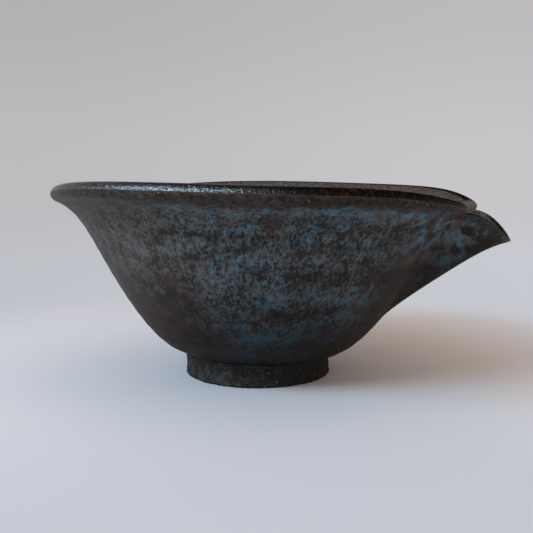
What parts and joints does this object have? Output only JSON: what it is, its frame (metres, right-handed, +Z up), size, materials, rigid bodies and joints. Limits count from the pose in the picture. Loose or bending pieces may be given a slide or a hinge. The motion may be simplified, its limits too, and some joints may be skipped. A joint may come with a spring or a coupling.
{
  "type": "katakuchi sake pourer",
  "caption": "Hand-thrown stoneware bowl with a flared rolled lip, an open beak spout and a ring foot, for pouring sake.",
  "frame": {"origin": "centre of the foot's base, on the table", "axes": "+X towards the spout's tip, +Z up"},
  "size_m": [0.1573, 0.145, 0.0687],
  "materials": {
    "bowl_glaze": "dark iron glaze with slate-blue mottling",
    "spout_glaze": "dark iron glaze with slate-blue streaks",
    "seam_glaze": "dark iron glaze breaking to brown",
    "bare_clay": "unglazed, rough and sandy",
    "slip": "fired slip, dry"
  },
  "bodies": {
    "root": {"bowl_body": "bowl_glaze", "spout": "spout_glaze", "spout_luting_coil": "seam_glaze", "foot_ring": "bare_clay", "foot_luting_slip": "slip"}
  },
  "joints": []
}
